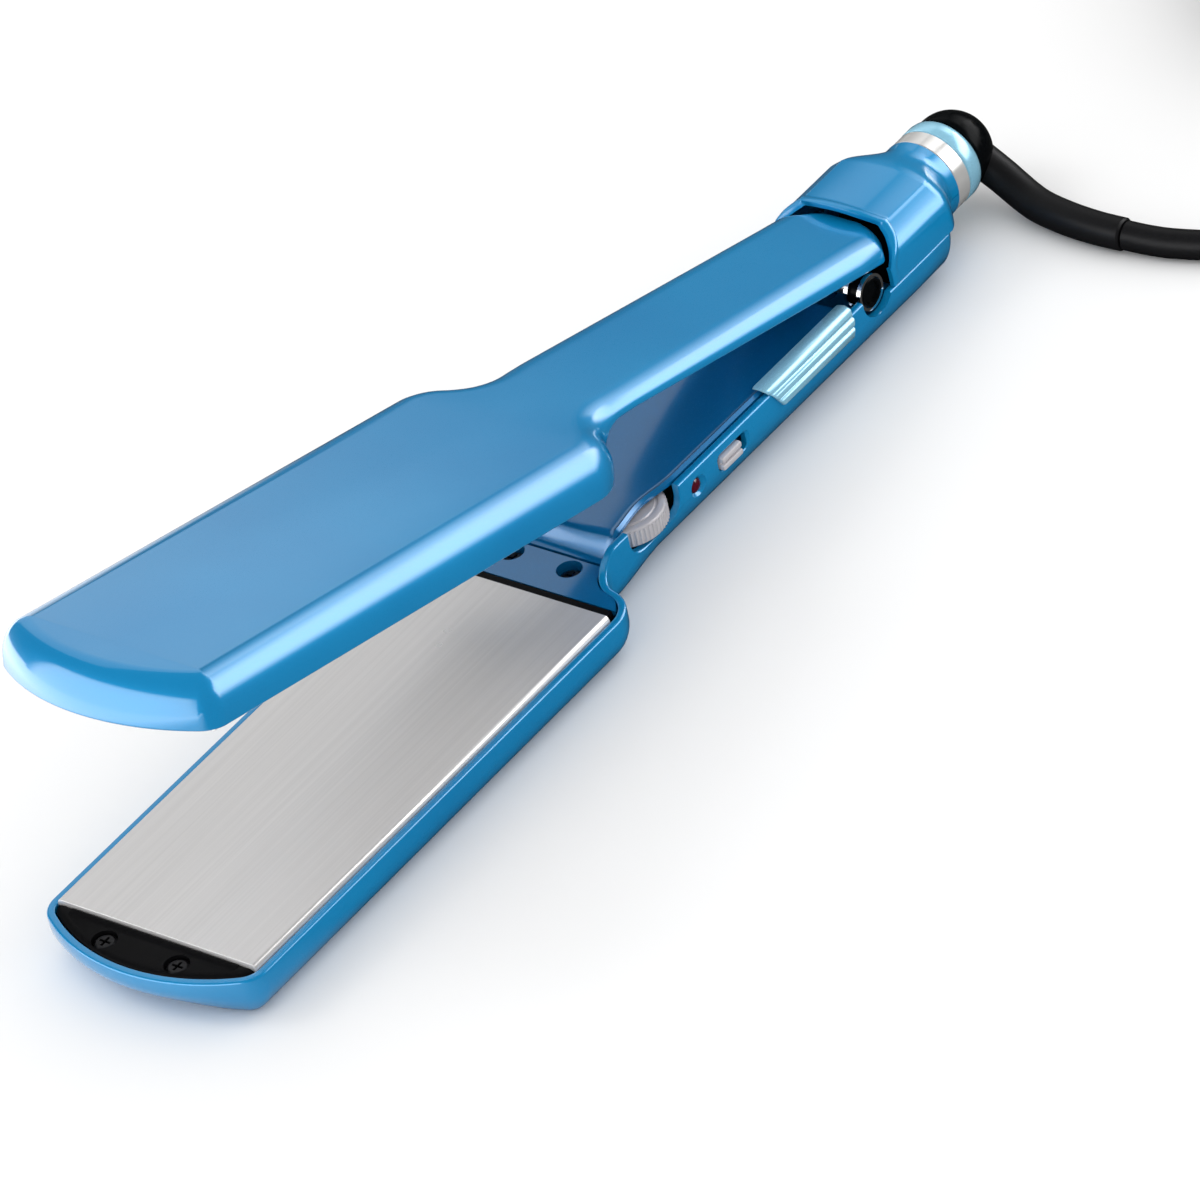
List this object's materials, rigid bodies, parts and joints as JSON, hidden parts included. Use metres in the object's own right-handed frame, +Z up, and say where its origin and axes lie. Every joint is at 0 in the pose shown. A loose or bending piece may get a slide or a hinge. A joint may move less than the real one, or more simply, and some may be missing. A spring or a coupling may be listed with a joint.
{
  "type": "hair straightening iron",
  "caption": "Wide-plate hair straightening iron: sprung hinged arms with heated plates, a side dial and switch, and a mains cord on a swivel, coiled beside it.",
  "frame": {"origin": "on the flat underside of the lower arm, below the plates' inner ends, on the centre line", "axes": "+X from the plates to the cord, +Z up from the underside to the plate's face, controls on the -Y side"},
  "size_m": [0.4708, 0.1227, 0.0816],
  "materials": {
    "shell": "pearl gloss",
    "light_trim": "satin pearl",
    "inner_cover": "gloss",
    "plate": "satin coated",
    "black_plastic": "satin",
    "ceramic": "matt ceramic",
    "steel": "bright",
    "black_steel": "blackened",
    "fuse": "gilt",
    "board": "solder mask",
    "lamp": "clear red",
    "chrome": "polished",
    "brass": "plated",
    "cord": "satin"
  },
  "bodies": {
    "base": {"lower_shell": "shell", "handle_cover": "inner_cover", "hinge_hood": "shell", "near_grip": "light_trim", "far_grip": "light_trim", "lower_plate": "plate", "lower_plate_carrier": "black_plastic", "lower_tip_cap": "black_plastic", "lower_heater": "ceramic", "lower_heater_clamp": "steel", "lower_thermal_fuse": "fuse", "lower_tip_screws": "black_steel", "lower_neck_screws": "steel", "control_board": "board", "dial_potentiometer": "black_plastic", "switch_body": "black_plastic", "indicator_lamp": "lamp", "hinge_pin": "steel", "hinge_bushes": "black_plastic", "hinge_trim_rings": "chrome", "hinge_spring": "steel", "swivel_bush": "black_plastic", "chrome_ring": "chrome", "tail_collar": "light_trim", "contact_block": "black_plastic"},
    "dial": {"temperature_dial": "chrome"},
    "slider": {"power_button": "chrome"},
    "upper_arm": {"upper_shell": "shell", "upper_inner_cover": "inner_cover", "upper_plate": "plate", "upper_plate_carrier": "black_plastic", "upper_tip_cap": "black_plastic", "upper_heater": "ceramic", "upper_heater_clamp": "steel", "upper_thermal_fuse": "fuse", "upper_tip_screws": "black_steel", "upper_neck_screws": "steel"},
    "swivel": {"swivel_head": "black_plastic", "swivel_clip": "steel", "contact_rings": "brass", "strain_relief": "cord", "cord_lead": "cord", "cord_coil": "cord", "cord_end": "cord", "cord_tie": "cord", "plug_body": "cord", "plug_blades": "brass"}
  },
  "joints": [
    {"name": "arm_hinge", "type": "hinge", "parent": "base", "child": "upper_arm", "pos_m": [0.1125, 0, 0.0152], "axis": [0, 1, 0], "range_deg": [-13.7, 0], "stiffness_Nm_per_rad": 0.8, "springref_deg": 28.65},
    {"name": "dial_turn", "type": "hinge", "parent": "base", "child": "dial", "pos_m": [0.03, -0.0079, 0.0098], "axis": [0, 0, 1], "range_deg": [0, 280]},
    {"name": "power_slide", "type": "slide", "parent": "base", "child": "slider", "axis": [1, 0, 0], "range_m": [0, 0.0024]},
    {"name": "swivel_turn", "type": "hinge", "parent": "base", "child": "swivel", "pos_m": [0.15, 0, 0.0135], "axis": [1, 0, 0], "continuous": true}
  ]
}
